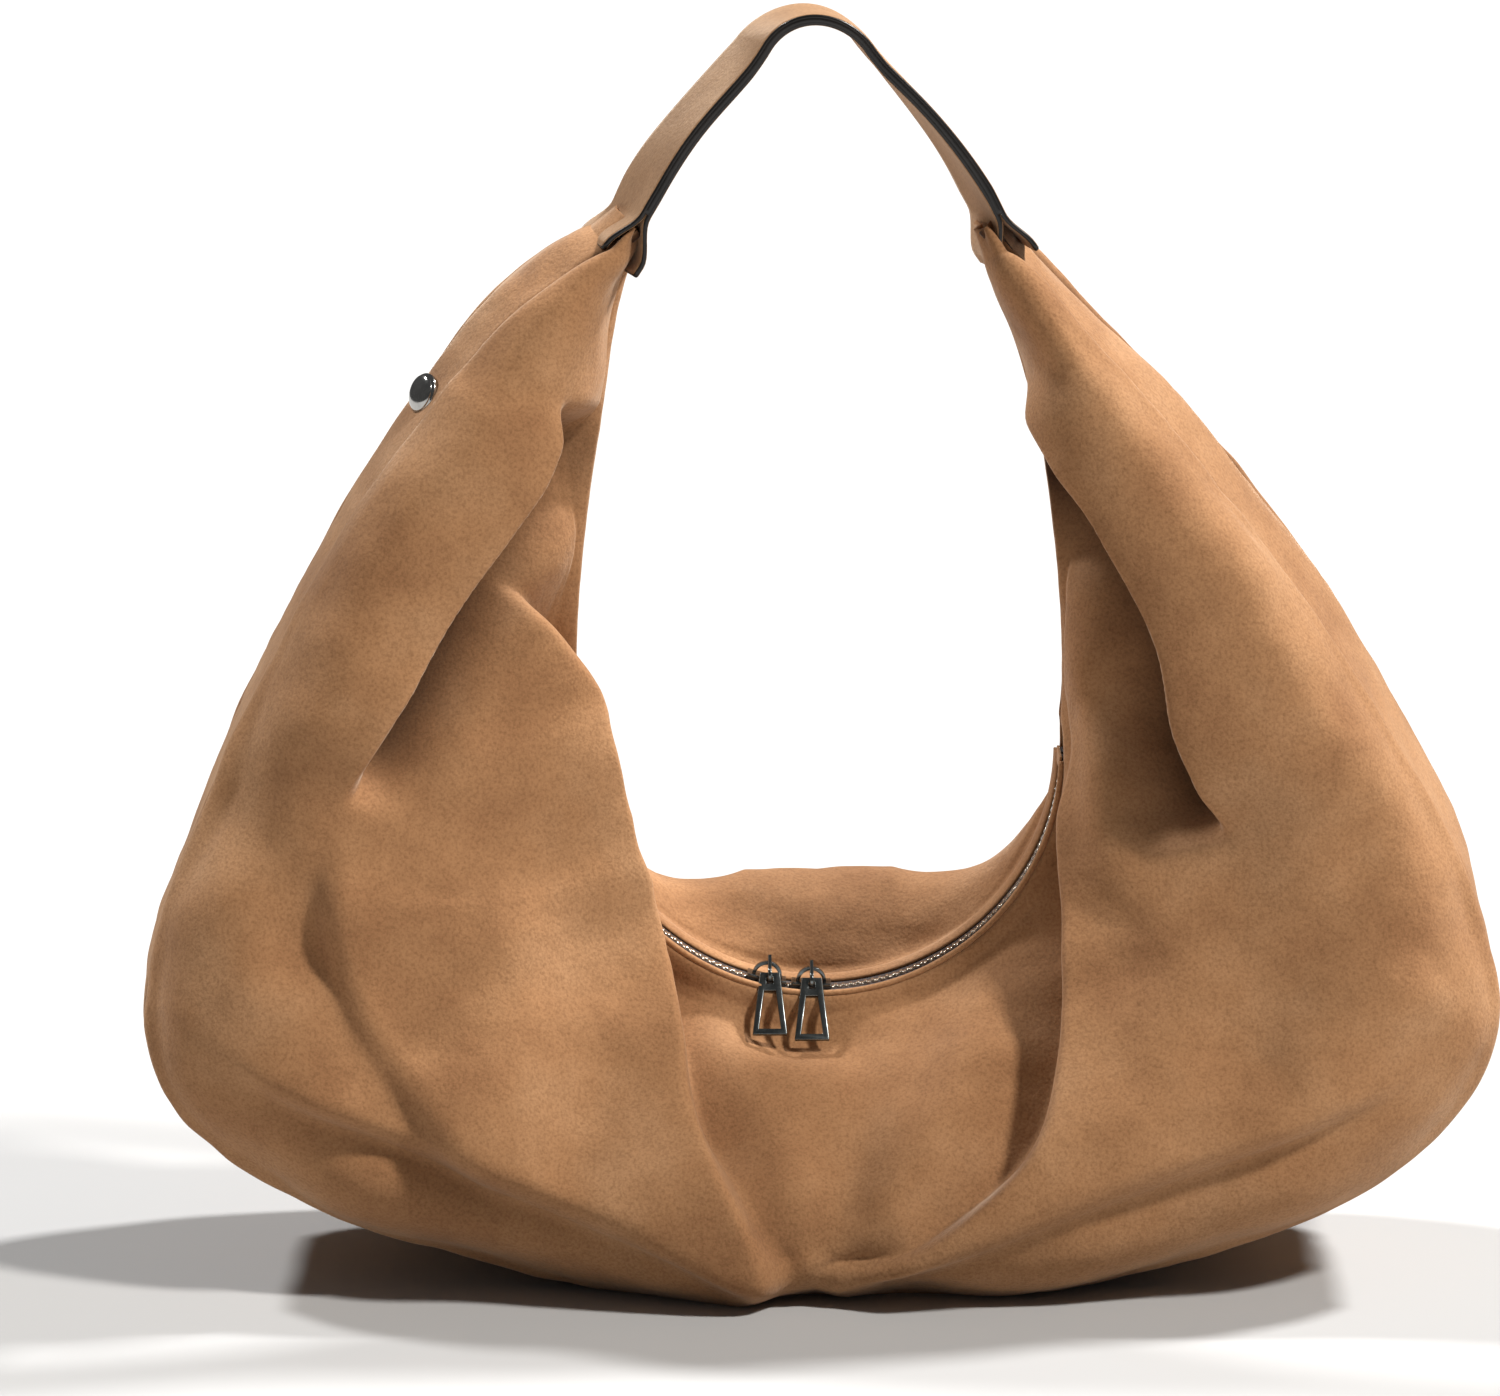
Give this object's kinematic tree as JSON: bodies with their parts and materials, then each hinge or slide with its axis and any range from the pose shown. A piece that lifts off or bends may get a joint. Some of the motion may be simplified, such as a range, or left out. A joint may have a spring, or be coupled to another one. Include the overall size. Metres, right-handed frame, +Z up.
{
  "type": "hobo bag",
  "caption": "Slouchy crescent shoulder bag in suede cloth with a short flat strap, a curved two-way top zip with hanging pull tabs, and a round stud",
  "frame": {"origin": "the middle of the base, on the surface that the bag stands on", "axes": "+X to the bag's right-hand horn as seen from the front, +Y from front to back, +Z up"},
  "size_m": [0.46, 0.16, 0.436],
  "materials": {
    "suede": "brushed microsuede with a short nap",
    "lining": "plain woven lining",
    "webbing": "stiff woven tape",
    "zip_tape": "herringbone woven tape",
    "nickel": "nickel plated",
    "gunmetal": "polished gunmetal plating",
    "edge_paint": "glossy edge paint"
  },
  "bodies": {
    "bag": {"front_panel": "suede", "back_panel": "suede", "base_panel": "suede", "gusset_left": "suede", "gusset_right": "suede", "facing_front": "suede", "facing_back": "suede", "lining_front": "lining", "lining_back": "lining", "inner_pocket": "lining", "zip_tape_front": "zip_tape", "zip_tape_back": "zip_tape", "zip_teeth_front": "nickel", "zip_teeth_back": "nickel", "zip_stops": "nickel", "zip_end_tabs": "suede", "stud_cap": "gunmetal", "stud_post": "gunmetal", "stud_washer": "gunmetal", "anchor_left": "webbing", "anchor_right": "webbing", "strap_end_left": "suede", "strap_end_right": "suede"},
    "strap": {"strap_outer": "suede", "strap_core": "webbing", "strap_inner": "suede", "strap_edge_front": "edge_paint", "strap_edge_back": "edge_paint"},
    "slider_left": {"slider_left": "gunmetal", "bridge_left": "gunmetal"},
    "slider_right": {"slider_right": "gunmetal", "bridge_right": "gunmetal"},
    "link_left": {"link_left": "gunmetal"},
    "link_right": {"link_right": "gunmetal"},
    "tab_left": {"tab_left": "gunmetal"},
    "tab_right": {"tab_right": "gunmetal"}
  },
  "joints": [
    {"name": "strap_fold", "type": "hinge", "parent": "bag", "child": "strap", "pos_m": [0, 0, 0.37], "axis": [1, 0, 0], "range_deg": [-70, 70], "stiffness_Nm_per_rad": 0.05, "deforming": ["strap_end_left", "strap_end_right"]},
    {"name": "slider_left_run", "type": "hinge", "parent": "bag", "child": "slider_left", "pos_m": [0, 0, 0.178], "axis": [0, 1, 0], "range_deg": [0, 66]},
    {"name": "slider_right_run", "type": "hinge", "parent": "bag", "child": "slider_right", "pos_m": [0, 0, 0.178], "axis": [0, 1, 0], "range_deg": [-81, 0]},
    {"name": "link_left_swing", "type": "hinge", "parent": "slider_left", "child": "link_left", "pos_m": [-0.01694, 0, 0.10319], "axis": [-1, 0, 0], "range_deg": [0, 120]},
    {"name": "link_right_swing", "type": "hinge", "parent": "slider_right", "child": "link_right", "pos_m": [-0.00247, 0, 0.10134], "axis": [-1, 0, 0], "range_deg": [0, 120]},
    {"name": "tab_left_swing", "type": "hinge", "parent": "link_left", "child": "tab_left", "pos_m": [-0.01694, -0.00869, 0.10086], "axis": [-1, 0, 0], "range_deg": [0, 45]},
    {"name": "tab_right_swing", "type": "hinge", "parent": "link_right", "child": "tab_right", "pos_m": [-0.00247, -0.00869, 0.09901], "axis": [-1, 0, 0], "range_deg": [0, 45]}
  ]
}
